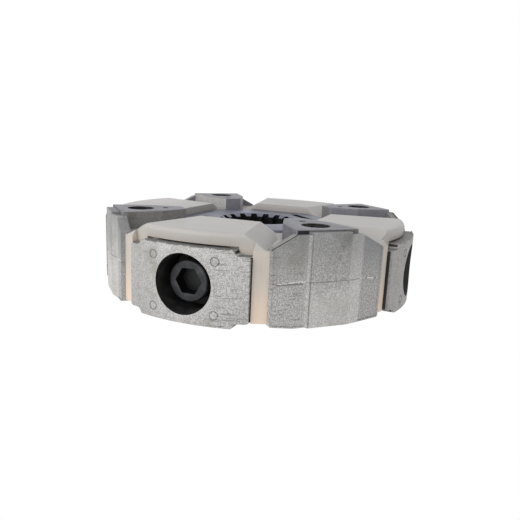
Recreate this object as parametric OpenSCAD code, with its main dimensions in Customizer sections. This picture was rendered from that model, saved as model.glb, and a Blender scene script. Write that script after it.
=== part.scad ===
// Flexible flange coupling for a hydraulic pump.
// A splined steel hub carries four die-cast radial blocks, held by cap screws.
// Four die-cast axial blocks take the flywheel bolts, and a moulded elastomer ring
// joins all eight. Z is the shaft axis, and the tops of the axial blocks meet the
// flywheel.

/* [Coupling] */
// Pitch circle diameter of the flywheel bolts
bolt_pcd = 165; // [158:1:170]
// Diameter over the faces of the radial blocks
outer_d = 212; // [208:1:220]
// Height of the axial blocks
axial_h = 53; // [50:0.2:58]
// Height of the radial blocks
radial_h = 42.4; // [39:0.2:44]

/* [Hub] */
// Outside diameter of the hub
hub_d = 104; // [98:1:110]
// Height of the hub above the radial blocks
hub_rise = 2.8; // [2:0.2:5]
// Number of spline teeth
spline_teeth = 18; // [12:1:24]
// Diameter at the roots of the spline
spline_root_d = 54; // [46:0.5:56]
// Depth of the spline teeth
tooth_depth = 3; // [2:0.1:4]
// Height of the lead-in chamfer on the spline
spline_lead = 2.3; // [0.5:0.1:3]
// Width of the two clamping slots beside the bore
slot_w = 5; // [3:0.5:6]
// Length of the clamping slots
slot_len = 32; // [20:1:34]
// Steel between the bore and a clamping slot
slot_wall = 6; // [5:0.5:8]

/* [Radial blocks] */
// Radial thickness of the curved face plate
plate_t = 6.5; // [4:0.5:8]
// Width of the face plate over its tabs
plate_w = 73; // [70:0.5:75]
// Width of the full-height middle of the face plate
plate_mid_w = 56.6; // [50:0.2:62]
// Step between the middle and the tabs
tab_step = 3; // [1:0.2:4]
// Width of the block body behind the face plate
radial_body_w = 43; // [41:0.5:48]
// Diameter of the counterbore for the screw head
counterbore_d = 34; // [28:0.5:35]
// Diameter of the clearance hole for the screw
radial_hole_d = 17.5; // [16.6:0.1:19]
// Outer diameter of the ejector marks on the face plate
mark_d = 5.3; // [3:0.1:6]

/* [Cap screws] */
// Thread diameter of the radial cap screws
screw_d = 16; // [12:1:16]
// Diameter of the screw head
head_d = 24; // [20:1:26]
// Height of the screw head
head_h = 16; // [12:0.5:18]
// Width across the flats of the hexagon socket
socket_af = 14; // [10:1:16]
// Depth of the screw head below the face of the block
head_sink = 7.5; // [6:0.5:12]
// Steel between the bore and the tip of a screw
tip_wall = 7.5; // [5:0.5:10]

/* [Axial blocks] */
// Diameter of the bolt hole
axial_hole_d = 16.5; // [12:0.1:18]
// Gap between the hub and the flat of the nose
nose_gap = 2; // [1:0.2:4]
// Width of the flat of the nose
nose_w = 12.4; // [8:0.2:16]
// Width of the block beside the bolt hole
waist_w = 31; // [28:0.5:34]
// Width of the block at its outer shoulders
shoulder_w = 39.4; // [36:0.2:42]
// Distance of the rib inside the outer diameter
rib_inset = 3.7; // [3:0.1:5]
// Width of the face of the rib
rib_w = 24.2; // [20:0.2:27]
// Width of the broad flank of the rib
rib_flank = 9.2; // [4:0.2:10]
// Depth of the wings' face behind the rib
wing_inset = 2.3; // [1:0.1:3]
// Width over the wings
wing_w = 68.6; // [64:0.2:70]
// Thickness of the wings
wing_t = 5.5; // [4:0.5:7]
// Depth of the wings' top below the top of the block
wing_drop = 2; // [1:0.2:4]
// Depth of the wings' outer edges below the top of the block
edge_drop = 9.6; // [8:0.1:12]
// Diameter of the small locating hole
dimple_d = 4; // [3:0.5:5]

/* [Elastomer] */
// Distance of the elastomer ring inside the outer diameter
ring_inset = 2.5; // [2:0.1:6]
// Height of the ring's underside above the base
ring_foot = 3; // [0.5:0.5:5]
// Mean width of the grooves between the tabs and the ring
tab_gap = 0.8; // [0.6:0.1:1.5]
// Height of the pads above the hub
pad_cover = 5; // [3:0.2:6]
// Distance of the pads' outer face inside the outer diameter
pad_inset = 6.5; // [6:0.5:10]
// Distance by which a pad laps over the hub
pad_lap = 5; // [2:0.5:8]
// Half width of a pad at its inner edge
pad_half_in = 20.5; // [17:0.5:23]
// Half width of a pad at its outer edge
pad_half_out = 31; // [28:0.5:34]
// Slope of the sides of a pad in degrees
pad_slope = 31; // [28:1:42]
// Radius of the outer top edge of a pad
pad_round = 2.5; // [1:0.5:5]

/* [Hidden] */
$fn = 64;
eps = 0.01;
cut = 1;
places = 4;
circle_deg = 360;
// Facets of the large circles, a multiple of the number of blocks
fine = 180;
outer_r = outer_d / 2;
pitch_r = bolt_pcd / 2;
hub_r = hub_d / 2;
hub_h = radial_h + hub_rise;
hub_edge = 1;
root_r = spline_root_d / 2;
tip_tooth_r = root_r - tooth_depth;
// Shares of the pitch that are open at the roots and between the tips
root_share = 0.4;
mouth_share = 0.72;
root_pitch = circle_deg / spline_teeth * PI / 180 * root_r;
mouth_pitch = circle_deg / spline_teeth * PI / 180 * tip_tooth_r;
gap_w = root_pitch * root_share;
gap_mouth_w = mouth_pitch * mouth_share;
gap_start_r = tip_tooth_r * 0.9;
lead_extra = 0.5;
slot_end_r = slot_w / 2;
slot_dist = root_r + slot_wall + slot_end_r;
plate_r = outer_r - plate_t;
plate_depth = 14;
screw_rise = 0.4;
screw_z = radial_h / 2 + screw_rise;
head_r = outer_r - head_sink;
seat_r = head_r - head_h;
tip_r = root_r + tip_wall;
tip_edge = 1;
tap_clear = 0.1;
tap_extra = 1.5;
head_edge = 0.8;
socket_depth = head_h / 2;
corner_r = 1.5;
tab_corner_r = 1.2;
core_sink = 5;
core_taper = 3;
core_neck = 18;
core_step = 6;
mark_ring = 0.7;
mark_depth = 0.3;
mark_side = 18.7;
mark_edge = 6.6;
nose_r = hub_r + nose_gap;
waist_r = pitch_r - 10.5;
rib_r = outer_r - rib_inset;
wing_r = rib_r - wing_inset;
front_r = wing_r - 2.5;
rib_root = 2;
rib_steep = 1.2;
rib_drop = 0.8;
wing_h = axial_h - wing_drop;
wing_edge_h = axial_h - edge_drop;
wing_foot = 2;
rim_w = 0.8;
rim_t = 0.4;
wing_foot_w = 40;
dimple_r = pitch_r - 16.1;
dimple_depth = 3;
ring_r = outer_r - ring_inset;
ring_h = radial_h + 0.1;
collar_h = hub_h - 1.4;
collar_w = 8;
collar_fall = 6;
pad_h = hub_h + pad_cover;
pad_in = hub_r - pad_lap;
pad_out_r = outer_r - pad_inset;
pad_foot = 4.5;
pad_clear = 1;
// The grooves are wider on one side of each plate, as in the casting seen nearest
gap_shift = 0.5;
steel = [0.62, 0.61, 0.66];
cast = [0.70, 0.69, 0.67];
cream = [0.86, 0.80, 0.71];
oxide = [0.10, 0.10, 0.11];

// Angle of radial block n, the first one towards -Y
function radial_angle(n) = -90 + 90 * (n - 1);
// Angle of axial block n, the first one between -Y and +X
function axial_angle(n) = -45 + 90 * (n - 1);

// Turns a drawing in width and height so that it runs outwards along +X
module outwards(from_r, to_r) {
    translate([from_r, 0, 0])
        rotate([90, 0, 90])
            linear_extrude(height = to_r - from_r)
                children();
}

// Rounds the outer corners of a drawing, and fills its inner corners
module soften(outer, inner) {
    offset(r = outer)
        offset(delta = -outer)
            offset(r = -inner)
                offset(delta = inner)
                    children();
}

module spline_outline() {
    circle(r = tip_tooth_r);
    for (i = [0 : spline_teeth - 1])
        rotate(i * circle_deg / spline_teeth)
            polygon([
                [gap_start_r, -gap_mouth_w / 2],
                [gap_start_r, gap_mouth_w / 2],
                [root_r, gap_w / 2],
                [root_r, -gap_w / 2]
            ]);
}

// A slot across the line from the axis to the first axial block
module clamp_slot() {
    straight_half = slot_len / 2 - slot_end_r;
    translate([slot_dist - slot_end_r, -straight_half, -cut])
        cube([slot_w, 2 * straight_half, hub_h + 2 * cut]);
    for (side = [-1, 1])
        translate([slot_dist, side * straight_half, -cut])
            cylinder(r = slot_end_r, h = hub_h + 2 * cut);
}

module hub() {
    lead_r = root_r + lead_extra;
    small_r = tip_tooth_r - lead_extra;
    color(steel)
    difference() {
        union() {
            cylinder(r = hub_r, h = hub_h - hub_edge);
            translate([0, 0, hub_h - hub_edge])
                cylinder(r1 = hub_r, r2 = hub_r - hub_edge, h = hub_edge);
        }
        translate([0, 0, -cut])
            linear_extrude(height = hub_h + 2 * cut)
                spline_outline();
        translate([0, 0, hub_h - spline_lead])
            cylinder(r1 = small_r, r2 = lead_r, h = spline_lead + eps);
        translate([0, 0, -eps])
            cylinder(r1 = lead_r, r2 = small_r, h = spline_lead + eps);
        for (n = [2, 4])
            rotate(axial_angle(n))
                clamp_slot();
        for (n = [1 : places])
            rotate(radial_angle(n))
                translate([tip_r - tap_extra, 0, screw_z])
                    rotate([0, 90, 0])
                        cylinder(d = screw_d + 2 * tap_clear, h = hub_d);
    }
}

// Outline of the face plate in width and height
module plate_outline() {
    translate([0, radial_h / 2])
        soften(tab_corner_r, tab_step)
            union() {
                square([plate_mid_w, radial_h], center = true);
                square([plate_w, radial_h - 2 * tab_step], center = true);
            }
}

// The curved face plate out to a radius, made larger by grow and moved sideways
module face_shell(to_r, grow, shift) {
    intersection() {
        outwards(plate_r - plate_depth, outer_r + 2 * cut)
            translate([shift, 0])
                offset(delta = grow)
                    plate_outline();
        translate([0, 0, -grow])
            difference() {
                cylinder(r = to_r, h = radial_h + 2 * grow, $fn = fine);
                translate([0, 0, -cut])
                    cylinder(r = plate_r, h = radial_h + 2 * grow + 2 * cut, $fn = fine);
            }
    }
}

// The body of a radial block between the hub and its face plate
module radial_core(to_r) {
    neck_half = radial_body_w / 2 - core_taper;
    body_half = radial_body_w / 2;
    neck_r = hub_r + core_neck;
    body_r = neck_r + core_step;
    difference() {
        intersection() {
            linear_extrude(height = radial_h)
                polygon([
                    [hub_r - core_sink, -neck_half],
                    [hub_r - core_sink, neck_half],
                    [neck_r, neck_half],
                    [body_r, body_half],
                    [outer_r, body_half],
                    [outer_r, -body_half],
                    [body_r, -body_half],
                    [neck_r, -neck_half]
                ]);
            cylinder(r = to_r, h = radial_h, $fn = fine);
        }
        translate([0, 0, -cut])
            cylinder(r = hub_r, h = radial_h + 2 * cut);
    }
}

// The four ring marks that the ejector pins leave on a face plate
module ejector_marks() {
    for (side = [-1, 1])
        for (z = [mark_edge, radial_h - mark_edge])
            translate([0, 0, z])
                rotate([0, 90, side * asin(mark_side / outer_r)])
                    translate([0, 0, outer_r - mark_depth])
                        difference() {
                            cylinder(d = mark_d, h = cut, $fn = 32);
                            cylinder(d = mark_d - 2 * mark_ring, h = cut, $fn = 32);
                        }
}

module radial_block(n) {
    color(cast)
    rotate(radial_angle(n))
    difference() {
        union() {
            face_shell(outer_r, 0, 0);
            radial_core(plate_r + plate_t / 2);
        }
        translate([seat_r, 0, screw_z])
            rotate([0, 90, 0])
                cylinder(d = counterbore_d, h = outer_r);
        translate([hub_r - 2 * core_sink, 0, screw_z])
            rotate([0, 90, 0])
                cylinder(d = radial_hole_d, h = outer_r);
        ejector_marks();
    }
}

// One cap screw along +X, its head outwards
module cap_screw() {
    translate([0, 0, screw_z])
    rotate([0, 90, 0])
    difference() {
        union() {
            translate([0, 0, tip_r + tip_edge])
                cylinder(d = screw_d, h = seat_r - tip_r);
            translate([0, 0, tip_r])
                cylinder(d1 = screw_d - 2 * tip_edge, d2 = screw_d, h = tip_edge);
            translate([0, 0, seat_r])
                cylinder(d = head_d, h = head_h - head_edge);
            translate([0, 0, head_r - head_edge])
                cylinder(d1 = head_d, d2 = head_d - 2 * head_edge, h = head_edge);
        }
        translate([0, 0, head_r - socket_depth])
            rotate(30)
                cylinder(d = socket_af / cos(30), h = socket_depth + cut, $fn = 6);
    }
}

module radial_screws() {
    color(oxide)
    for (n = [1 : places])
        rotate(radial_angle(n))
            cap_screw();
}

// Plan of the full-height part of an axial block, lying along +X
module axial_plan() {
    offset(r = corner_r)
        offset(delta = -corner_r)
            polygon([
                [nose_r, -nose_w / 2],
                [waist_r, -waist_w / 2],
                [front_r, -shoulder_w / 2],
                [front_r, shoulder_w / 2],
                [waist_r, waist_w / 2],
                [nose_r, nose_w / 2]
            ]);
}

// The rib down the face of an axial block, with one steep and one broad flank
module axial_rib() {
    intersection() {
        linear_extrude(height = wing_h)
            polygon([
                [front_r - rib_root, -rib_w / 2 - rib_steep],
                [wing_r, -rib_w / 2 - rib_steep],
                [rib_r, -rib_w / 2],
                [rib_r, rib_w / 2],
                [wing_r, rib_w / 2 + rib_flank],
                [front_r - rib_root, rib_w / 2 + rib_flank]
            ]);
        outwards(front_r - rib_root, rib_r)
            wing_outline();
    }
    translate([front_r - rib_root, -rib_w / 2, 0])
        cube([rib_r - front_r + rib_root, rib_w, axial_h - rib_drop]);
}

// Outline of both wings in width and height
module wing_outline() {
    offset(r = tab_corner_r)
        offset(delta = -tab_corner_r)
            polygon([
                [-wing_w / 2, wing_foot],
                [-wing_foot_w / 2, 0],
                [wing_foot_w / 2, 0],
                [wing_w / 2, wing_foot],
                [wing_w / 2, wing_edge_h],
                [shoulder_w / 2, wing_h],
                [-shoulder_w / 2, wing_h],
                [-wing_w / 2, wing_edge_h]
            ]);
}

// The two wings, with a thin raised rim round their face
module axial_wings() {
    outwards(wing_r - wing_t, wing_r)
        wing_outline();
    outwards(wing_r - cut, wing_r + rim_t)
        difference() {
            wing_outline();
            offset(delta = -rim_w)
                wing_outline();
        }
}

// Everything of an axial block but its holes, lying along +X
module axial_solid() {
    linear_extrude(height = axial_h)
        axial_plan();
    axial_rib();
    axial_wings();
}

module axial_block(n) {
    color(cast)
    rotate(axial_angle(n))
    difference() {
        axial_solid();
        translate([pitch_r, 0, -cut])
            cylinder(d = axial_hole_d, h = axial_h + 2 * cut);
        translate([dimple_r, 0, axial_h - dimple_depth])
            cylinder(d = dimple_d, h = dimple_depth + cut);
    }
}

// Section of a pad, with its outer top edge rounded and a sloping foot
module pad_section() {
    from_r = pad_in - pad_lap;
    translate([from_r, ring_h - cut])
        square([pad_out_r - from_r, pad_h - ring_h + cut - pad_round]);
    translate([from_r, ring_h])
        square([pad_out_r - from_r - pad_round, pad_h - ring_h]);
    translate([pad_out_r - pad_round, pad_h - pad_round])
        circle(r = pad_round);
    polygon([
        [pad_out_r - cut, ring_h],
        [pad_out_r - cut, ring_h + pad_foot],
        [pad_out_r, ring_h + pad_foot],
        [ring_r, ring_h]
    ]);
}

// The sloping cut along one side of a pad
module pad_side_cut() {
    turn = atan((pad_half_out - pad_half_in) / (pad_out_r - pad_in));
    translate([pad_in, pad_half_in, pad_h])
        rotate([0, 0, turn])
            rotate([-pad_slope, 0, 0])
                translate([-pad_in, 0, 0])
                    cube([2 * outer_r, outer_r, pad_in]);
}

// The pad over a radial block, lying along +X
module pad() {
    difference() {
        intersection() {
            rotate_extrude($fn = fine)
                pad_section();
            translate([0, 0, ring_h - cut])
                linear_extrude(height = pad_h)
                    polygon([
                        [pad_in, -pad_in],
                        [pad_in, pad_in],
                        [ring_r + cut, ring_r],
                        [ring_r + cut, -ring_r]
                    ]);
        }
        pad_side_cut();
        mirror([0, 1, 0])
            pad_side_cut();
    }
}

// What a face plate and its tabs keep free of the pad above them
module pad_front_cut() {
    free_w = plate_w + 2 * tab_gap;
    free_h = radial_h - tab_step;
    translate([pad_in, -free_w / 2 - gap_shift, free_h])
        difference() {
            cube([outer_r, free_w, pad_h]);
            translate([-pad_in, free_w / 2 + gap_shift, -cut])
                cylinder(r = pad_out_r, h = pad_h + 3 * cut, $fn = fine);
        }
    translate([pad_out_r - plate_t, -plate_mid_w / 2, radial_h - cut])
        cube([outer_r, plate_mid_w, pad_clear + cut]);
}

// The height step from the hub down to the ring between the pads
module collar() {
    rotate_extrude($fn = fine)
        polygon([
            [hub_r - cut, ring_h - cut],
            [hub_r - cut, collar_h],
            [hub_r + collar_w, collar_h],
            [hub_r + collar_w + collar_fall, ring_h],
            [hub_r + collar_w + collar_fall, ring_h - cut]
        ]);
}

// What stands free behind, above and before the wings of an axial block
module wing_space() {
    outwards(wing_r - wing_t, outer_r + cut)
        translate([-wing_w / 2, -cut])
            square([wing_w, axial_h + 2 * cut]);
}

module elastomer_ring() {
    color(cream)
    difference() {
        union() {
            translate([0, 0, ring_foot])
                cylinder(r = ring_r, h = ring_h - ring_foot, $fn = fine);
            collar();
            for (n = [1 : places])
                rotate(radial_angle(n))
                    pad();
        }
        translate([0, 0, -cut])
            cylinder(r = hub_r, h = hub_h + cut);
        cylinder(r = pad_in - eps, h = pad_h + cut);
        for (n = [1 : places]) {
            rotate(radial_angle(n)) {
                radial_core(outer_r);
                face_shell(outer_r + cut, tab_gap, -gap_shift);
                pad_front_cut();
            }
            rotate(axial_angle(n)) {
                axial_solid();
                wing_space();
            }
        }
    }
}

hub();
elastomer_ring();
radial_screws();
radial_block(1);  // radial_block_1
radial_block(2);  // radial_block_2
radial_block(3);  // radial_block_3
radial_block(4);  // radial_block_4
axial_block(1);  // axial_block_1
axial_block(2);  // axial_block_2
axial_block(3);  // axial_block_3
axial_block(4);  // axial_block_4
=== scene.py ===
import math
import bmesh
import bpy
import numpy as np
from mathutils import Matrix, Vector


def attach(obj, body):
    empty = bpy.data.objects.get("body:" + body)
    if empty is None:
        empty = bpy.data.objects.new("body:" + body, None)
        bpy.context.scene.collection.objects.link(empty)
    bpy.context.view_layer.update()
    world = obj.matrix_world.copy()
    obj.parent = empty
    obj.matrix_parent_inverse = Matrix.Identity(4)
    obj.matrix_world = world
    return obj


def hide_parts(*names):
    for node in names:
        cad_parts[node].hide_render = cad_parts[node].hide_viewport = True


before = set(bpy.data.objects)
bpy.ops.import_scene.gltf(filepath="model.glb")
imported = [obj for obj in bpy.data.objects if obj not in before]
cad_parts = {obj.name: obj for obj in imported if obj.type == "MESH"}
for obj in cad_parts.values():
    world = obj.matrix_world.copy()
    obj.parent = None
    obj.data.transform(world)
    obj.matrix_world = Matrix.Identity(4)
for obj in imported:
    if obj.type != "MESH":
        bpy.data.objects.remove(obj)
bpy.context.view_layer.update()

scene = bpy.context.scene
scene.view_settings.view_transform = "Standard"
mm = 0.001


def direction(azimuth, elevation):
    # (sin a cos e, -cos a cos e, sin e): the azimuth runs from -Y towards +X
    a, e = math.radians(azimuth), math.radians(elevation)
    return Vector((math.sin(a) * math.cos(e), -math.cos(a) * math.cos(e), math.sin(e)))


def turned(x, y, degrees):
    # x and y seen from axes turned by that angle t: x cos t + y sin t, y cos t - x sin t
    t = math.radians(degrees)
    return x * math.cos(t) + y * math.sin(t), y * math.cos(t) - x * math.sin(t)


cameraPlan = {
    "azimuth": 21.96,        # degrees round the shaft axis, from -Y towards +X
    "distance": 366.45,      # mm from the axis, measured level
    "height": 95.97,         # mm above the underside of the coupling
    "yaw": -0.36,            # degrees the view turns off the axis
    "pitch": 12.46,          # degrees looking down
    "roll": 2.57,            # degrees about the line of sight
    "lens": 36.08,           # mm
    "sensor": 36,            # mm
    "nearest": 0.01,         # metres in front of the camera where the view starts
}


def makeCamera(plan):
    # right and up are turned by the roll r: cos r right + sin r up, cos r up - sin r right
    a, r = math.radians(plan["azimuth"]), math.radians(plan["roll"])
    spot = Vector((math.sin(a) * plan["distance"], -math.cos(a) * plan["distance"], plan["height"])) * mm
    back = direction(plan["azimuth"] + plan["yaw"], plan["pitch"])
    right = (-back).cross(Vector((0, 0, 1))).normalized()
    up = right.cross(-back)
    rolled = Matrix((math.cos(r) * right + math.sin(r) * up, -math.sin(r) * right + math.cos(r) * up, back))
    data = bpy.data.cameras.new("camera")
    data.lens, data.sensor_width, data.clip_start = plan["lens"], plan["sensor"], plan["nearest"]
    camera = bpy.data.objects.new("camera", data)
    scene.collection.objects.link(camera)
    camera.matrix_world = Matrix.Translation(spot) @ rolled.transposed().to_4x4()
    scene.camera = camera


makeCamera(cameraPlan)
print("camera is set")


class Wire:
    # one shader socket that can be used in ordinary sums
    def __init__(self, nodes, socket):
        self.nodes, self.socket = nodes, socket

    def __add__(self, other):
        return self.nodes.sum("ADD", self, other)

    def __radd__(self, other):
        return self.nodes.sum("ADD", other, self)

    def __sub__(self, other):
        return self.nodes.sum("SUBTRACT", self, other)

    def __rsub__(self, other):
        return self.nodes.sum("SUBTRACT", other, self)

    def __mul__(self, other):
        return self.nodes.sum("MULTIPLY", self, other)

    def __rmul__(self, other):
        return self.nodes.sum("MULTIPLY", other, self)

    def __pow__(self, other):
        return self.nodes.sum("POWER", self, other)

    def __rpow__(self, other):
        return self.nodes.sum("POWER", other, self)

    def __neg__(self):
        return self.nodes.sum("MULTIPLY", self, -1)

    def most(self, other):
        return self.nodes.sum("MAXIMUM", self, other)

    def size(self):
        return self.nodes.sum("ABSOLUTE", self)

    def swing(self, amount):
        # a pattern from 0 to 1, made to swing about zero
        return (self - 0.5) * amount

    def rise(self, low, high):
        # 0 below low, 1 above high, a soft step between them
        return self.nodes.node("ShaderNodeMapRange", {"interpolation_type": "SMOOTHSTEP"},
                               {"Value": self, "From Min": low, "From Max": high})

    def band(self, low, full, stillFull, high):
        # 0 outside low and high, 1 between full and stillFull
        return self.rise(low, full) * self.rise(high, stillFull)


class Nodes:
    # the nodes of a material or of the world, added one by one
    def __init__(self, owner):
        owner.use_nodes = True
        self.owner, self.tree = owner, owner.node_tree
        self.tree.nodes.clear()

    def node(self, kind, settings, sockets, output=0):
        made = self.tree.nodes.new(kind)
        for key, value in settings.items():
            setattr(made, key, value)
        for key, value in sockets.items():
            socket = made.inputs[key]
            if isinstance(value, Wire):
                self.tree.links.new(value.socket, socket)
            elif socket.type == "RGBA":
                socket.default_value = (*value, 1)
            else:
                socket.default_value = value
        if made.outputs:
            return Wire(self, made.outputs[output])

    def sum(self, operation, first, second=None):
        sockets = {0: first} if second is None else {0: first, 1: second}
        return self.node("ShaderNodeMath", {"operation": operation}, sockets)

    def split(self, vector):
        # the x, y and z of a vector
        first = self.node("ShaderNodeSeparateXYZ", {}, {"Vector": vector})
        return [Wire(self, socket) for socket in first.socket.node.outputs]

    def seen(self):
        # 1 for what the camera sees straight, mirrored or through glass, 0 for light on the coupling
        rays = [self.node("ShaderNodeLightPath", {}, {}, f"Is {kind} Ray")
                for kind in ("Camera", "Glossy", "Transmission")]
        return rays[0].most(rays[1]).most(rays[2])


class Finish(Nodes):
    # one procedural material
    def __init__(self, name):
        super().__init__(bpy.data.materials.new(name))
        self.place = self.node("ShaderNodeTexCoord", {}, {}, "Object")

    def noise(self, scale, detail=3.0, rough=0.6, stretch=None, warp=0.0):
        # soft pattern from 0 to 1 with about scale marks in a metre; stretch is their share along x, y, z
        where = self.place
        if stretch:
            where = self.node("ShaderNodeMapping", {}, {"Vector": where, "Scale": stretch})
        return self.node("ShaderNodeTexNoise", {},
                         {"Vector": where, "Scale": scale, "Detail": detail,
                          "Roughness": rough, "Distortion": warp})

    def patterns(self, look):
        return [self.noise(**settings) for settings in look["patterns"].values()]

    def blend(self, share, one, other):
        # share 0 gives one, share 1 gives other; 6, 7 and 2 are the Mix node's colour sockets
        return self.node("ShaderNodeMix", {"data_type": "RGBA"}, {"Factor": share, 6: one, 7: other}, 2)

    def layered(self, colour, layers):
        # lays tone after tone over the colour, each by its share
        for share, tone in layers:
            colour = self.blend(share, colour, tone)
        return colour

    def bumped(self, height, strength, depth):
        return self.node("ShaderNodeBump", {}, {"Height": height, "Strength": strength, "Distance": depth})

    def surface(self, sockets):
        shader = self.node("ShaderNodeBsdfPrincipled", {}, sockets)
        self.node("ShaderNodeOutputMaterial", {}, {"Surface": shader})
        return self.owner


castLook = {
    "pale": (0.605, 0.588, 0.578),
    "dark": (0.33, 0.325, 0.315),
    "pit": (0.12, 0.12, 0.112),
    "stain": (0.25, 0.25, 0.185),
    "glint": (0.78, 0.77, 0.75),
    "grain": 1650.0,                        # blast marks per metre
    "pits": 0.45,                           # pits to one blast mark
    "grainDetail": 2.0,
    "patterns": {
        "mottle": {"scale": 150.0, "warp": 0.4},
        "cloud": {"scale": 42.0, "detail": 2.0, "rough": 0.5},
        "drag": {"scale": 900.0, "detail": 2.0, "stretch": (0.10, 0.10, 1.0), "warp": 0.3},
    },
    "contrast": 4.6,                        # how far the grain changes the shade, then the coarser marks
    "pitContrast": 1.2,
    "mottleContrast": 0.7,
    "cloudContrast": 0.5,
    "middle": 0.55,
    "shades": (-0.1, 1.1),                  # shade at the dark colour and at the pale one
    "glintFrom": (0.60, 0.72),              # where a pattern starts to show and where it is full
    "glintShare": 0.5,
    "stainCloud": (0.50, 0.66),
    "stainMottle": (0.40, 0.60),
    "stainShare": 0.55,
    "pitFrom": (0.64, 0.76),
    "pitShare": 0.45,
    "dragFrom": (0.56, 0.66),
    "dragCloud": (0.52, 0.62),
    "dragElsewhere": 0.35,
    "dragTone": 0.6,
    "firstPlate": (0.088, 0.094),           # metres towards -Y, where the first plate begins
    "dragRight": (0.015, 0.022),            # metres towards +X
    "drag": 0.8,                            # drag marks at the right of the first plate
    "smudgeLeft": (-0.008, -0.026),         # metres towards +X
    "smudge": 0.30,                         # soft grey smudge at the left of the first plate
    "smudgeLeast": 0.4,
    "gapReach": (0.1049, 0.1044),           # metres from the axis, for the looks that name a painted gap shadow
    "rimOut": (0.0986, 0.0990),             # metres out from the axis, for a painted shadow along a rim
    "recessSide": (-0.0118, -0.0124),       # metres across the block, for a painted shadow in a recess
    "roughness": 0.58,
    "roughGrain": 0.4,
    "roughMottle": 0.15,
    "metallic": 0.30,
    "bump": {"grain": 0.7, "pits": 0.6, "mottle": 0.8, "drag": 0.5, "strength": 0.7, "depth": 0.0005},
}
axialLook = dict(castLook, drag=0.0, smudge=0.0, grain=1400.0, contrast=8.0, **{
    "paintedShade": (0.215, 0.218, 0.226),          # painted shade: grey tone, deepening towards the top
    "paintedShadeUp": (0.016, 0.050),               # metres up
    "paintedShadeShare": 0.55,
    "paintedShadeMottle": (0.7, 0.6),               # least share of the painted shade, and how much mottling adds
    "front": (0.0970, 0.0985),              # metres out, the front of the block
    "wingShade": 0.25,                            # painted shade: darker wing past the broad flank of the rib
    "wingShadeSide": (0.0208, 0.0222),            # metres across the block, as all that follow
    "flank": 0.28,                          # painted highlight: paler broad flank
    "flankSide": (0.0120, 0.0128, 0.0208, 0.0214),
    "foot": 0.30,                           # painted light: paler lower half of the rib
    "ribSide": (-0.0125, -0.0115, 0.0115, 0.0125),
    "footUp": (0.030, 0.012),
    "creaseShade": 0.60,                         # painted shade: dark line along the steep flank
    "creaseShadeSide": (-0.0124, -0.0121, -0.0117, -0.0113),
    "lit": 0.12,                            # painted highlight: pale steep flank itself
    "litSide": (-0.0150, -0.0145, -0.0127, -0.0124),
    "patch": 0.55,                          # greenish patch beside the steep flank
    "patchSide": (-0.029, -0.021, -0.0165, -0.0135),
    "patchUp": (0.024, 0.040),
    "patchMottle": (0.30, 0.55),
    "scraped": 0.45,                        # scrapes on the wing beside the steep flank
    "scrapedFrom": (0.57, 0.66),
    "scrapedSide": (-0.0150, -0.0165),
    "parting": 0.0255,                      # metres up to the parting line
    "partingShare": 0.6,
    "partingWander": 0.0012,
    "partingWidth": (0.0001, 0.0005),
    "partingOut": (0.0988, 0.0992),
    "partingMottle": (0.36, 0.50),
    "under": 0.75,                          # shadow under the flash
    "underDrop": 0.0009,
    "underWander": 0.0010,
    "underWidth": (0.0002, 0.0006),
    "underSide": (-0.0318, -0.0300, -0.0155, -0.0145),
})
diagonal = 0.70711           # cosine of 45 degrees, since the axial blocks lie on the diagonals


def axialMarks(look, side, out, z, grain, mottle, drag):
    # shares and tones of the marks that only axial blocks carry, the lowest coat first: painted highlights
    # on the broad flank, the rib's foot and the steep flank, painted shade in the crease, towards the top
    # and on the wing past the broad flank, and a painted shadow under the flash, besides real stains,
    # scrapes and the parting line
    front = out.rise(*look["front"])
    least, more = look["paintedShadeMottle"]
    line = (z - look["parting"] + mottle.swing(look["partingWander"])).size()
    under = (z - look["parting"] + look["underDrop"] + grain.swing(look["underWander"])).size()
    return [
        (side.band(*look["flankSide"]) * front * look["flank"], look["glint"]),
        (side.band(*look["ribSide"]) * z.rise(*look["footUp"]) * look["foot"], look["glint"]),
        (side.band(*look["creaseShadeSide"]) * front * look["creaseShade"], look["pit"]),
        (side.band(*look["litSide"]) * front * look["lit"], look["glint"]),
        (side.band(*look["patchSide"]) * z.rise(*look["patchUp"]) * mottle.rise(*look["patchMottle"])
         * look["patch"], look["stain"]),
        (drag.rise(*look["scrapedFrom"]) * side.rise(*look["scrapedSide"]) * look["scraped"], look["pit"]),
        # painted shade: darker towards the top, and on the wing past the broad flank
        (z.rise(*look["paintedShadeUp"]) * look["paintedShadeShare"] * (least + mottle * more)
         + side.rise(*look["wingShadeSide"]) * look["wingShade"], look["paintedShade"]),
        ((1.0 - line.rise(*look["partingWidth"])) * out.rise(*look["partingOut"])
         * mottle.rise(*look["partingMottle"]) * look["partingShare"], look["pit"]),
        ((1.0 - under.rise(*look["underWidth"])) * side.band(*look["underSide"])
         * look["under"], look["pit"]),
    ]


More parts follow.
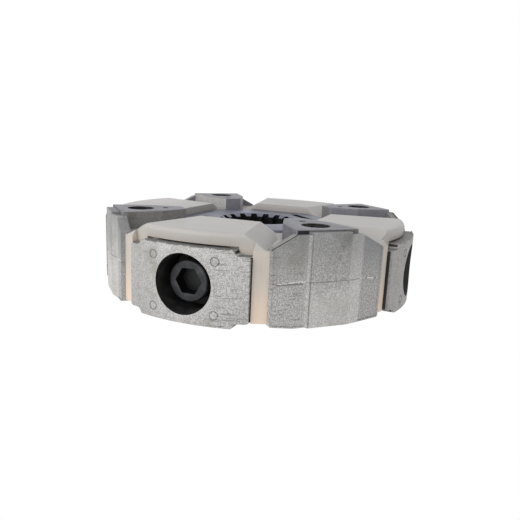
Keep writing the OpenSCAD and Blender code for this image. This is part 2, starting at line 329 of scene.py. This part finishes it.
def castAluminium(name, look):
    # blasted die casting: sharp grain over soft mottling, greenish stains, sideways drag marks,
    # and a painted shadow in a gap, along a rim or in a recess, or an axial block's marks with their
    # painted light and shade, where the look names them
    f = Finish(name)
    x, y, z = f.split(f.place)
    grain = f.noise(look["grain"], look["grainDetail"])
    pits = f.noise(look["grain"] * look["pits"], look["grainDetail"])
    mottle, cloud, drag = f.patterns(look)
    shade = (grain.swing(look["contrast"]) + pits.swing(look["pitContrast"])
             + mottle.swing(look["mottleContrast"]) + cloud.swing(look["cloudContrast"]) + look["middle"])
    stained = cloud.rise(*look["stainCloud"]) * mottle.rise(*look["stainMottle"])
    firstPlate = (-y).rise(*look["firstPlate"])
    dragged = drag.rise(*look["dragFrom"]) * (x.rise(*look["dragRight"]) * firstPlate * look["drag"]
                                              + cloud.rise(*look["dragCloud"]) * look["dragElsewhere"])
    smudged = x.rise(*look["smudgeLeft"]) * firstPlate * (look["smudgeLeast"] + mottle)
    layers = [
        (grain.rise(*look["glintFrom"]) * look["glintShare"], look["glint"]),
        (stained * look["stainShare"], look["stain"]),
        (dragged * look["dragTone"], look["pit"]),
        (smudged * look["smudge"], look["dark"]),
        (pits.rise(*look["pitFrom"]) * look["pitShare"], look["pit"]),
    ]
    # side runs across each axial block, out runs away from the axis along its middle
    side = (y * f.sum("SIGN", x) - x * f.sum("SIGN", y)) * diagonal
    out = (x.size() + y.size()) * diagonal
    if "gap" in look:
        layers.append((((x * x + y * y) ** 0.5).rise(*look["gapReach"]), look["gap"]))
    if "rim" in look:
        layers.append((out.rise(*look["rimOut"]), look["rim"]))
    if "recess" in look:
        layers.append((side.rise(*look["recessSide"]), look["recess"]))
    if "parting" in look:
        layers += axialMarks(look, side, out, z, grain, mottle, drag)
    colour = f.layered(f.blend(shade.rise(*look["shades"]), look["dark"], look["pale"]), layers)
    roughness = look["roughness"] + grain.swing(look["roughGrain"]) + mottle.swing(look["roughMottle"])
    bump = look["bump"]
    height = grain * bump["grain"] + pits * bump["pits"] + mottle * bump["mottle"] - dragged * bump["drag"]
    return f.surface({"Base Color": colour, "Metallic": look["metallic"], "Roughness": roughness,
                      "Normal": f.bumped(height, bump["strength"], bump["depth"])})


topLook = {
    "base": (0.205, 0.205, 0.232),
    "dark": (0.145, 0.145, 0.165),
    "pale": (0.33, 0.33, 0.35),
    "patterns": {
        "cloud": {"scale": 75.0, "detail": 4.0},
        "fleck": {"scale": 1300.0, "rough": 0.7},
        "tool": {"scale": 1500.0, "detail": 2.0, "stretch": (0.12, 1.0, 1.0)},
        "nick": {"scale": 380.0, "detail": 2.0, "rough": 0.5},
    },
    "cloudPart": 0.5,                       # cloud in the mottling, the rest is fleck
    "mottled": (0.34, 0.66),
    "toolFrom": (0.5, 0.7),
    "toolShare": 0.3,
    "nickFrom": (0.66, 0.74),
    "nickShare": 0.4,
    "roughness": 0.46,
    "roughCloud": 0.25,
    "roughTool": 0.2,
    "metallic": 0.40,
    "bump": {"tool": 0.5, "fleck": 0.6, "strength": 0.25, "depth": 0.0003},
}


def facedTop(name, look):
    # faced tops of the axial blocks: grey-lilac, fine straight tool marks and scattered nicks
    f = Finish(name)
    cloud, fleck, tool, nick = f.patterns(look)
    mottled = (cloud * look["cloudPart"] + fleck * (1 - look["cloudPart"])).rise(*look["mottled"])
    colour = f.layered(f.blend(mottled, look["dark"], look["base"]), [
        (tool.rise(*look["toolFrom"]) * look["toolShare"], look["pale"]),
        (nick.rise(*look["nickFrom"]) * look["nickShare"], look["pale"]),
    ])
    roughness = look["roughness"] + cloud.swing(look["roughCloud"]) + tool.swing(look["roughTool"])
    bump = look["bump"]
    height = tool * bump["tool"] + fleck * bump["fleck"]
    return f.surface({"Base Color": colour, "Metallic": look["metallic"], "Roughness": roughness,
                      "Normal": f.bumped(height, bump["strength"], bump["depth"])})


elastomerLook = {
    # painted light and shade: greyer higher up and on top, creamier on the sides, paler and warmer low down
    "side": (0.62, 0.562, 0.500),
    "high": (0.50, 0.474, 0.444),
    "top": (0.565, 0.545, 0.53),
    "low": (0.845, 0.690, 0.558),
    "seam": (0.40, 0.33, 0.25),
    "glare": (0.665, 0.645, 0.640),         # painted light: paler pad top towards -X
    "patterns": {
        "cloud": {"scale": 42.0, "rough": 0.5},
        "skin": {"scale": 900.0},
        "scuff": {"scale": 260.0, "detail": 4.0, "rough": 0.65, "stretch": (1.0, 1.0, 0.4), "warp": 0.6},
        "streak": {"scale": 300.0, "stretch": (1.0, 1.0, 0.08)},
    },
    "highUp": (0.040, 0.047),               # metres up
    "topFacing": (0.35, 0.90),              # how far a surface looks up
    "glareFacing": (0.60, 0.95),
    "glareLeft": (-0.055, -0.080),          # metres towards +X
    "glareShare": 0.9,
    "lowUp": (0.034, 0.002),                # metres up
    "cloudShare": 0.45,
    "scuffFrom": (0.58, 0.76),
    "scuffShare": 0.10,
    "streakFrom": (0.55, 0.75),
    "streakUp": (0.044, 0.038),             # metres up
    "streakShare": 0.12,
    "roughness": 0.45,
    "roughCloud": 0.12,
    "roughScuff": 0.18,
    "bump": {"skin": 0.35, "cloud": 1.5, "scuff": 0.3, "strength": 0.12, "depth": 0.0004},
}


def creamElastomer(name, look):
    # smooth moulding with painted light and shade: greyer on top, creamier on its sides, warmest low down;
    # faint scuffs and streaks
    f = Finish(name)
    x, y, z = f.split(f.place)
    upward = f.split(f.node("ShaderNodeNewGeometry", {}, {}, "Normal"))[2]
    cloud, skin, scuff, streak = f.patterns(look)
    glare = upward.rise(*look["glareFacing"]) * x.rise(*look["glareLeft"]) * look["glareShare"]
    colour = f.layered(f.blend(z.rise(*look["highUp"]), look["side"], look["high"]), [
        (upward.rise(*look["topFacing"]), look["top"]),
        (glare, look["glare"]),
        (z.rise(*look["lowUp"]), look["low"]),
        ((cloud - 0.5).size() * look["cloudShare"], look["seam"]),
        (scuff.rise(*look["scuffFrom"]) * look["scuffShare"], look["seam"]),
        (streak.rise(*look["streakFrom"]) * z.rise(*look["streakUp"]) * look["streakShare"], look["seam"]),
    ])
    roughness = look["roughness"] + cloud.swing(look["roughCloud"]) + scuff.swing(look["roughScuff"])
    bump = look["bump"]
    height = skin * bump["skin"] + cloud * bump["cloud"] + scuff * bump["scuff"]
    return f.surface({"Base Color": colour, "Roughness": roughness,
                      "Normal": f.bumped(height, bump["strength"], bump["depth"])})


hubLook = {
    "base": (0.180, 0.186, 0.248),
    "dark": (0.138, 0.142, 0.188),
    "ring": (0.24, 0.24, 0.285),
    "patterns": {
        "cloud": {"scale": 70.0, "detail": 4.0},
        "fleck": {"scale": 1400.0},
    },
    "rings": 9000.0,                        # radians of the ring pattern per metre of radius
    "ringShare": 0.10,
    "cloudPart": 0.7,                       # cloud in the mottling
    "fleckPart": 0.3,
    "mottled": (0.35, 0.68),
    "roughness": 0.38,
    "roughCloud": 0.25,
    "roughRing": 0.05,
    "metallic": 0.75,
    "bump": {"ring": 0.4, "fleck": 0.5, "strength": 0.12, "depth": 0.0002},
}


def turnedSteel(name, look):
    # faced steel, fine rings round the axis over light mottling: ring = sin(rings * radius) / 2 + 1/2
    f = Finish(name)
    x, y, z = f.split(f.place)
    ring = f.sum("SINE", (x * x + y * y) ** 0.5 * look["rings"]) * 0.5 + 0.5
    cloud, fleck = f.patterns(look)
    mottled = (cloud * look["cloudPart"] + fleck * look["fleckPart"]).rise(*look["mottled"])
    colour = f.blend(mottled, look["dark"], look["base"])
    colour = f.blend(ring * look["ringShare"], colour, look["ring"])
    roughness = look["roughness"] + cloud.swing(look["roughCloud"]) + ring * look["roughRing"]
    bump = look["bump"]
    height = ring * bump["ring"] + fleck * bump["fleck"]
    return f.surface({"Base Color": colour, "Metallic": look["metallic"], "Roughness": roughness,
                      "Normal": f.bumped(height, bump["strength"], bump["depth"])})


oxideLook = {
    "base": (0.020, 0.021, 0.023),
    "wornAndLit": (0.060, 0.062, 0.066),
    "patterns": {
        "grain": {"scale": 1500.0},
        "patch": {"scale": 160.0},
    },
    "wornFrom": (0.42, 0.70),
    "wornShare": 0.8,
    "roughness": 0.42,
    "roughGrain": 0.3,
    "roughPatch": 0.2,
    "metallic": 0.35,
    "shine": 0.5,
    "bump": {"strength": 0.2, "depth": 0.0002},
}


def blackOxideAndShade(name, look):
    # black oxide steel on the screws, and painted shade inside holes, bores and sockets: near black with a
    # slight grain and paler patches, rubbed wear on the screws and patches of painted light in the holes
    f = Finish(name)
    grain, patch = f.patterns(look)
    colour = f.blend(patch.rise(*look["wornFrom"]) * look["wornShare"], look["base"], look["wornAndLit"])
    roughness = look["roughness"] + grain.swing(look["roughGrain"]) + patch.swing(look["roughPatch"])
    return f.surface({"Base Color": colour, "Metallic": look["metallic"], "Roughness": roughness,
                      "Specular IOR Level": look["shine"],
                      "Normal": f.bumped(grain, look["bump"]["strength"], look["bump"]["depth"])})


def tinted(look, share, keys=("pale", "dark", "glint", "stain", "pit"), **changes):
    # the same look with its colours made darker or paler by a share, and other values changed
    return dict(look, **{key: tuple(part * share for part in look[key]) for key in keys}, **changes)


castLooks = {
    "blastedCasting": castLook,
    "blastedAxial": axialLook,
    "blastedShaded": tinted(castLook, 0.80),                          # second radial block, darker: painted shade
    "castingEdgeShaded": tinted(castLook, 0.60),                          # rounded edges, darker: painted shade
    "castingShadedSide": tinted(castLook, 0.45, contrast=1.0),          # painted shade: inner sides, tops of radial blocks
    "castingLitSide": tinted(castLook, 0.90, contrast=1.0),     # painted light: a paler inner side
    "castingStepShaded": tinted(castLook, 0.35, contrast=1.5, recess=(0.012, 0.012, 0.014)),  # painted shade over the wings, with a black painted shadow in the recess
    "castingRimShaded": tinted(castLook, 0.62, contrast=1.5, rim=(0.045, 0.045, 0.048)),      # painted shade on the sloped tops of left wings, with a painted shadow along the rim
    "castingMarkShadow": tinted(castLook, 0.22, contrast=1.5),             # painted shadow on the wall of an ejector mark
    # painted shade: darker ring of an ejector mark
    "ejectorMark": tinted(castLook, 0.68),
    "plateWallShaded": tinted(castLook, 0.75, gap=(0.022, 0.019, 0.016)), # painted shade: darker wall of a face plate, with the painted shadow of the gap behind it
    "castingFlash": tinted(castLook, 1.5),
}
oxideAndShadeLooks = {
    "screwOxide": oxideLook,
    "boreShade": dict(oxideLook, base=(0.004, 0.004, 0.004), wornAndLit=(0.008, 0.008, 0.008),
                      roughness=0.7, metallic=0.0, shine=0.12),     # painted shade inside the spline, slots and sockets
    # painted shade: near black inside the counterbores
    "counterboreShade": dict(oxideLook, base=(0.016, 0.016, 0.016), wornAndLit=(0.040, 0.039, 0.037),
                             roughness=0.5, metallic=0.1, shine=0.4),
    # painted shade inside the bolt holes and dimples, with paler patches of painted light on their walls
    "boltHoleShade": dict(oxideLook, base=(0.006, 0.006, 0.006), wornAndLit=(0.105, 0.104, 0.108),
                     roughness=0.6, metallic=0.1, shine=0.3),
    # painted light: paler floors of the hex sockets
    "socketFloorLit": dict(oxideLook, base=(0.007, 0.0072, 0.008), wornAndLit=(0.022, 0.0225, 0.025)),
}
finishes = {
    **{name: castAluminium(name, look) for name, look in castLooks.items()},
    **{name: blackOxideAndShade(name, look) for name, look in oxideAndShadeLooks.items()},
    "facedTop": facedTop("facedTop", topLook),
    "creamElastomer": creamElastomer("creamElastomer", elastomerLook),
    # painted light: paler ring for a shaded wall beside the first pad
    "elastomerLit": creamElastomer("elastomerLit", tinted(elastomerLook, 1.45, ("side", "high", "low"))),
    "turnedSteel": turnedSteel("turnedSteel", hubLook),
}
print("finishes are made")


meshing = {
    "merge": 2e-6,           # metres between corners that are made one
    "flat": 0.6,             # degrees between triangles that are made one face
    "sharp": 28,             # degrees at an edge from which it is rounded
}


def dressedCopy(name, node, plan, finishNames):
    # the node's own triangles, merged into faces, with every sharp edge rounded
    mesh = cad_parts[node].data.copy()
    mesh.name = name
    mesh.materials.clear()
    for finishName in finishNames:
        mesh.materials.append(finishes[finishName])
    shape = bmesh.new()
    shape.from_mesh(mesh)
    bmesh.ops.remove_doubles(shape, verts=shape.verts, dist=meshing["merge"])
    bmesh.ops.dissolve_limit(shape, angle_limit=math.radians(meshing["flat"]),
                             verts=shape.verts, edges=shape.edges)
    for face in shape.faces:
        face.smooth = True
        face.material_index = 0
    shape.to_mesh(mesh)
    shape.free()
    piece = bpy.data.objects.new(name, mesh)
    scene.collection.objects.link(piece)
    bevel = piece.modifiers.new("roundedEdges", "BEVEL")
    bevel.width = plan["bevel"] * mm
    bevel.segments = plan["steps"]
    bevel.limit_method = "ANGLE"
    bevel.angle_limit = math.radians(meshing["sharp"])
    bevel.use_clamp_overlap = True
    bevel.harden_normals = True
    bevel.miter_outer = "MITER_ARC"
    # rounded edges take the darker painted shade where a piece has it
    if "castingEdgeShaded" in finishNames:
        bevel.material = finishNames.index("castingEdgeShaded")
    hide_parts(node)
    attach(piece, "root")
    return piece


class Faces:
    # a piece's faces in a block's own directions, in mm: out from the axis, sideways, up
    def __init__(self, piece, angle=0.0):
        self.mesh = piece.data
        x, y, z = self.read(self.mesh.vertices, "co", 3).T / mm
        facingX, facingY, self.facingUp = self.read(self.mesh.polygons, "normal", 3).T
        self.out, self.side = turned(x, y, angle)
        self.up = z
        self.facingOut, self.facingSide = turned(facingX, facingY, angle)
        self.corners = self.read(self.mesh.loops, "vertex_index", 1, np.int32).ravel()
        self.starts = self.read(self.mesh.polygons, "loop_start", 1, np.int32).ravel()

    def read(self, items, key, width, kind=np.float64):
        values = np.empty(len(items) * width, kind)
        items.foreach_get(key, values)
        return values.reshape(-1, width)

    def most(self, values):
        # largest value over the corners of each face
        return np.maximum.reduceat(values[self.corners], self.starts)

    def least(self, values):
        return np.minimum.reduceat(values[self.corners], self.starts)

    def within(self, first, second, radius):
        # faces whose corners all lie nearer than radius, first and second being the two offsets
        return self.most(np.hypot(first, second)) < radius

    def paint(self, chosen, finishName):
        slots = self.read(self.mesh.polygons, "material_index", 1, np.int32).ravel()
        slots[chosen] = list(self.mesh.materials).index(finishes[finishName])
        self.mesh.polygons.foreach_set("material_index", slots)
        self.mesh.update()


axialAngles = [-45, 45, 135, 225]
radialAngles = [-90, 0, 90, 180]
screwHeight = 21.6           # mm up to the cap screws
slack = 0.1                  # mm that a face may reach past its place

axialPlan = {
    "bevel": 0.5,            # mm
    "steps": 3,              # segments in a rounded edge
    "front": 97.5,           # mm out, where the front of a block begins
    "stepFoot": 50.7,        # mm up, just under the foot of the step over the wings
    "holes": [(82.5, 8.25), (66.4, 2.0)],    # mm out and radius: bolt hole, locating dimple
    "upright": 0.5,          # an upright face looks up less than this
    "turned": 0.3,           # a face that looks up or sideways does so by more than this
    "outward": 0.8,
    "insides": ["castingShadedSide", "castingShadedSide", "facedTop", "castingShadedSide"],   # block by block; the third block's inner faces take the faced top's tone as painted shade
    "sideLightSigns": [-1, -1, 1, 0],                                # which inner side gets its own tone: painted shade on the first two blocks, painted light on the third
    "sideLight": ["facedTop", "facedTop", "castingLitSide", "castingShadedSide"],
}

for number, angle in enumerate(axialAngles, 1):
    block = dressedCopy(f"axialCasting{number}", f"axial_block_{number}", axialPlan,
                        ["blastedAxial", "castingEdgeShaded", "boltHoleShade", "facedTop", "castingShadedSide",
                         "castingLitSide", "castingStepShaded", "castingRimShaded"])
    faces = Faces(block, angle)
    lookingUp = faces.facingUp > axialPlan["turned"]
    upright = np.abs(faces.facingUp) < axialPlan["upright"]
    inner = upright & (faces.most(faces.out) < axialPlan["front"] + slack)
    sideLight = faces.facingSide * axialPlan["sideLightSigns"][number - 1] > axialPlan["turned"]
    # painted shade on the inner faces, and a further painted tone on one inner side
    faces.paint(inner, axialPlan["insides"][number - 1])
    faces.paint(inner & sideLight, axialPlan["sideLight"][number - 1])
    faces.paint(lookingUp & (faces.facingSide < axialPlan["turned"]), "facedTop")
    # painted shade on the sloped tops of the left wings
    faces.paint(lookingUp & (faces.facingSide < -axialPlan["turned"]), "castingRimShaded")
    overWings = faces.least(faces.up) > axialPlan["stepFoot"]
    # painted shade on the step over the wings
    faces.paint(inner & (faces.facingOut > axialPlan["outward"]) & overWings, "castingStepShaded")
    # painted shade inside the bolt holes and dimples
    for holeOut, radius in axialPlan["holes"]:
        faces.paint(faces.within(faces.out - holeOut, faces.side, radius + slack), "boltHoleShade")

radialPlan = {
    "bevel": 0.4,            # mm
    "steps": 3,
    "faces": ["blastedCasting", "blastedShaded", "blastedCasting", "blastedCasting"],   # block by block
    "plateBack": 99.0,       # mm out, just behind the face plates
    "counterbore": 17.0,     # mm, its radius
    "markSide": (-18.7, 18.7),   # mm to the ejector marks
    "markUp": (6.6, 35.8),
    "mark": 2.9,             # mm, radius round a mark and its wall
    "markDisc": 2.1,         # mm, radius of its floor
    "level": 0.9,            # a level face looks up more than this
    "sideways": 0.8,
    "wall": 0.7,             # a mark's wall looks out less than this
}

for number, angle in enumerate(radialAngles, 1):
    face = radialPlan["faces"][number - 1]
    block = dressedCopy(f"radialCasting{number}", f"radial_block_{number}", radialPlan,
                        [face, "castingEdgeShaded", "counterboreShade", "castingShadedSide", "castingMarkShadow",
                         "ejectorMark", "plateWallShaded"])
    faces = Faces(block, angle)
    # painted shade on the tops of the radial blocks
    faces.paint(faces.facingUp > radialPlan["level"], "castingShadedSide")
    onPlate = faces.least(np.hypot(faces.out, faces.side)) > radialPlan["plateBack"]
    # painted shade on the side walls of the face plates
    faces.paint((np.abs(faces.facingSide) > radialPlan["sideways"]) & onPlate, "plateWallShaded")
    for markSide in radialPlan["markSide"]:
        for markUp in radialPlan["markUp"]:
            offsets = faces.side - markSide, faces.up - markUp
            onMark = faces.within(*offsets, radialPlan["mark"])
            atRight = faces.least(faces.side) > markSide
            isWall = np.abs(faces.facingOut) < radialPlan["wall"]
            # painted shade in the ring of each ejector mark
            faces.paint(onMark, "ejectorMark")
            # painted shadow on the right wall of each ejector mark
            faces.paint(onMark & atRight & isWall, "castingMarkShadow")
            faces.paint(faces.within(*offsets, radialPlan["markDisc"]), face)
    counterbore = faces.within(faces.side, faces.up - screwHeight, radialPlan["counterbore"] + slack)
    # painted shade inside the counterbores
    faces.paint(counterbore, "counterboreShade")

ringPlan = {
    "bevel": 1.3,            # mm
    "steps": 4,
    "notchFrom": -40.0,      # mm sideways at the first block, where the ring shows beside its pad
    "notchTo": -24.0,
    "notchFoot": 34.0,       # mm up
    "upright": 0.6,
    "turned": 0.3,
}

ring = dressedCopy("elastomerRing", "elastomer_ring", ringPlan,
                   ["creamElastomer", "elastomerLit"])
faces = Faces(ring, radialAngles[0])
between = (faces.least(faces.side) > ringPlan["notchFrom"]) & (faces.most(faces.side) < ringPlan["notchTo"])
inNotch = between & (faces.least(faces.up) > ringPlan["notchFoot"])
turnedIn = (np.abs(faces.facingUp) < ringPlan["upright"]) & (faces.facingSide > ringPlan["turned"])
# painted light on the shaded ring wall beside the first block's pad
faces.paint(inNotch & turnedIn, "elastomerLit")

hubPlan = {
    "bevel": 0.25,           # mm
    "steps": 2,
    "slotReach": 45.0,       # mm from the axis past the ends of the slots
    "upright": 0.1,          # an upright face looks up less than this
}

hub = dressedCopy("splinedHub", "hub", hubPlan, ["turnedSteel", "boreShade"])
faces = Faces(hub)
inBore = faces.within(faces.out, faces.side, hubPlan["slotReach"])
# painted shade inside the spline and the slots
faces.paint((np.abs(faces.facingUp) < hubPlan["upright"]) & inBore, "boreShade")

screwPlan = {
    "bevel": 0.3,            # mm
    "steps": 2,
    "socket": 8.2,           # mm from the screw's axis past the socket's corners
    "socketFloor": 89.0,     # mm out, behind the socket's floor
    "outward": 0.8,
}

screws = dressedCopy("capScrews", "radial_screws", screwPlan,
                     ["screwOxide", "boreShade", "socketFloorLit"])
for angle in radialAngles:
    faces = Faces(screws, angle)
    inSocket = (faces.within(faces.side, faces.up - screwHeight, screwPlan["socket"])
                & (faces.least(faces.out) > screwPlan["socketFloor"]))
    # painted shade inside the hex sockets
    faces.paint(inSocket, "boreShade")
    # painted light on the socket floors
    faces.paint(inSocket & (faces.facingOut > screwPlan["outward"]), "socketFloorLit")
print("castings, hub, ring and screws are dressed")


def waved(s, waves, seed):
    # sum over the waves of size * sin(rate * s + seed * shift)
    return sum(size * np.sin(rate * s + seed * shift) for size, rate, shift in waves)


def ribbonMesh(name, out, side, up, angle, finishName):
    # grid of points, out(row, column), side and up in mm, turned to its block
    x, y = turned(out, side, -angle)
    points = np.stack([x, y, up], -1) * mm
    index = np.arange(out.size).reshape(out.shape)
    quads = np.stack([index[:-1, :-1], index[:-1, 1:], index[1:, 1:], index[1:, :-1]], -1).reshape(-1, 4)
    mesh = bpy.data.meshes.new(name)
    mesh.from_pydata(points.reshape(-1, 3).tolist(), [], quads.tolist())
    mesh.polygons.foreach_set("use_smooth", [True] * len(mesh.polygons))
    mesh.materials.append(finishes[finishName])
    ribbon = bpy.data.objects.new(name, mesh)
    scene.collection.objects.link(ribbon)
    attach(ribbon, "root")


flashPlan = {
    "height": 25.5,          # mm above the underside
    "half": 0.45,            # mm, half the ridge's width
    "proud": 0.50,           # mm
    "sunk": 0.06,            # mm that its edges lie under the face
    "reach": 33.6,           # mm along the block to each side
    "steps": 280,
    "faceSide": [-34.3, -13.3, -12.1, 12.1, 21.3, 34.3],         # the block's front, mm sideways and out
    "faceOut": [100.0, 100.0, 102.3, 102.3, 100.0, 100.0],
    "stretchSide": [-31.0, -30.0, -14.0, -13.0, 20.0, 24.0],     # stretches with flash and without
    "stretchLift": [-2.0, 0.9, 0.9, -1.3, -1.3, 0.1],
    "waves": [(0.55, 0.9, 1.53), (0.40, 2.3, 3.91), (0.35, 5.1, 8.67), (0.25, 9.7, 16.49)],
    "highest": 1.8,          # times proud
    "wander": [(0.25, 0.31, 1), (0.12, 1.9, 2)],
    "rows": [-1.0, -0.35, 0.3, 1.0],         # places across the ridge
    "hump": [0.0, 0.8, 1.0, 0.0],            # its height there
}


def partingFlash(name, angle, plan, seed):
    # ridge along the parting line: out(s) = face(s) - sunk + (proud * ragged(s) + sunk) * hump(row),
    # where ragged(s) = waves + lift, clipped at zero, so the flash comes and goes
    s = np.linspace(-plan["reach"], plan["reach"], plan["steps"])
    face = np.interp(s, plan["faceSide"], plan["faceOut"])
    lift = np.interp(s, plan["stretchSide"], plan["stretchLift"])
    ragged = np.clip(waved(s, plan["waves"], seed) + lift, 0.0, plan["highest"])
    rows, hump = np.array(plan["rows"])[:, None], np.array(plan["hump"])[:, None]
    out = face - plan["sunk"] + (plan["proud"] * ragged + plan["sunk"]) * hump
    up = plan["height"] + waved(s, plan["wander"], seed) + rows * plan["half"]
    ribbonMesh(name, out, np.broadcast_to(s, out.shape), up, angle, "castingFlash")


lipPlan = {
    "top": 42.4,             # mm, top of the face plates
    "radius": 105.95,        # mm, just inside the plate's face
    "half": 27.6,            # mm along the plate to each side
    "tall": 0.55,            # mm
    "steps": 360,
    "waves": [(0.5, 0.45, 1.035), (0.4, 1.3, 2.99), (0.35, 3.7, 8.51), (0.3, 8.3, 19.09)],
    "lift": 0.25,
    "highest": 1.4,          # times tall
    "inwards": [0.0, 0.05, 0.35, 0.35],      # mm, row by row from the front to the back
    "hump": [0.0, 1.0, 0.8, 0.0],
    "sunk": [0.5, 0.0, 0.0, 0.1],            # mm
}


def plateFlash(name, angle, plan, seed):
    # fin along the top edge of a face plate: out(s) = sqrt(radius^2 - s^2) - inwards(row),
    # up(s) = top + tall * ragged(s) * hump(row) - sunk(row), ragged(s) = waves + lift clipped at zero
    s = np.linspace(-plan["half"], plan["half"], plan["steps"])
    ragged = np.clip(plan["lift"] + waved(s, plan["waves"], seed), 0.0, plan["highest"])
    inwards, hump, sunk = (np.array(plan[key])[:, None] for key in ("inwards", "hump", "sunk"))
    out = np.sqrt(plan["radius"] ** 2 - s ** 2) - inwards
    up = plan["top"] + plan["tall"] * ragged * hump - sunk
    ribbonMesh(name, out, np.broadcast_to(s, out.shape), up, angle, "blastedCasting")


for number, (axialAngle, radialAngle) in enumerate(zip(axialAngles, radialAngles), 1):
    partingFlash(f"partingFlash{number}", axialAngle, flashPlan, number)
    plateFlash(f"plateFlash{number}", radialAngle, lipPlan, number)
print("casting flash is made")


studio = {
    "floor": (0.90, 0.90, 0.90),
    "floorReach": 6.0,       # metres to each side
    "floorUp": -0.0003,      # metres, just clear of the underside
    "bounce": 0.50,          # share of the floor that glows towards the coupling
    "world": 0.46,
    "middle": 0.025,         # metres up to the spot that the lamps look at
    "key": {"azimuth": -30, "elevation": 26, "reach": 1.1, "size": 0.9, "power": 6.0},
    "fill": {"azimuth": 40, "elevation": 30, "reach": 1.2, "size": 0.9, "power": 0.8},
}


def makeFloor(plan):
    # a pale sheet: plain white and without a shadow where it is seen, and it glows towards the coupling
    mesh = bpy.data.meshes.new("floor")
    far, up = plan["floorReach"], plan["floorUp"]
    corners = [(-far, -far, up), (far, -far, up), (far, far, up), (-far, far, up)]
    mesh.from_pydata(corners, [], [(0, 1, 2, 3)])
    floor = bpy.data.objects.new("floor", mesh)
    scene.collection.objects.link(floor)
    f = Finish("paleFloor")
    plain = f.node("ShaderNodeBsdfDiffuse", {}, {"Color": plan["floor"]})
    glow = f.node("ShaderNodeEmission", {}, {"Color": (1, 1, 1), "Strength": 1.0})
    both = f.node("ShaderNodeMixShader", {}, {0: f.seen().most(plan["bounce"]), 1: plain, 2: glow})
    f.node("ShaderNodeOutputMaterial", {}, {"Surface": both})
    mesh.materials.append(f.owner)


def makeWorld(plan):
    # plain white where it is seen, dimmer where it lights the coupling
    scene.world = bpy.data.worlds.new("studio")
    w = Nodes(scene.world)
    dim = w.node("ShaderNodeBackground", {}, {"Color": (1, 1, 1), "Strength": plan["world"]})
    bright = w.node("ShaderNodeBackground", {}, {"Color": (1, 1, 1), "Strength": 1.0})
    both = w.node("ShaderNodeMixShader", {}, {0: w.seen(), 1: dim, 2: bright})
    w.node("ShaderNodeOutputWorld", {}, {"Surface": both})


def softBox(name, middle, azimuth, elevation, reach, size, power):
    # a square lamp aimed at the middle of the coupling
    data = bpy.data.lights.new(name, "AREA")
    data.shape, data.size, data.energy = "SQUARE", size, power
    lamp = bpy.data.objects.new(name, data)
    scene.collection.objects.link(lamp)
    away = direction(azimuth, elevation)
    lamp.location = away * reach + Vector((0, 0, middle))
    lamp.rotation_euler = away.to_track_quat("Z", "Y").to_euler()


makeFloor(studio)
makeWorld(studio)
for name in ("key", "fill"):
    softBox(name, studio["middle"], **studio[name])
print("floor and lamps are set")
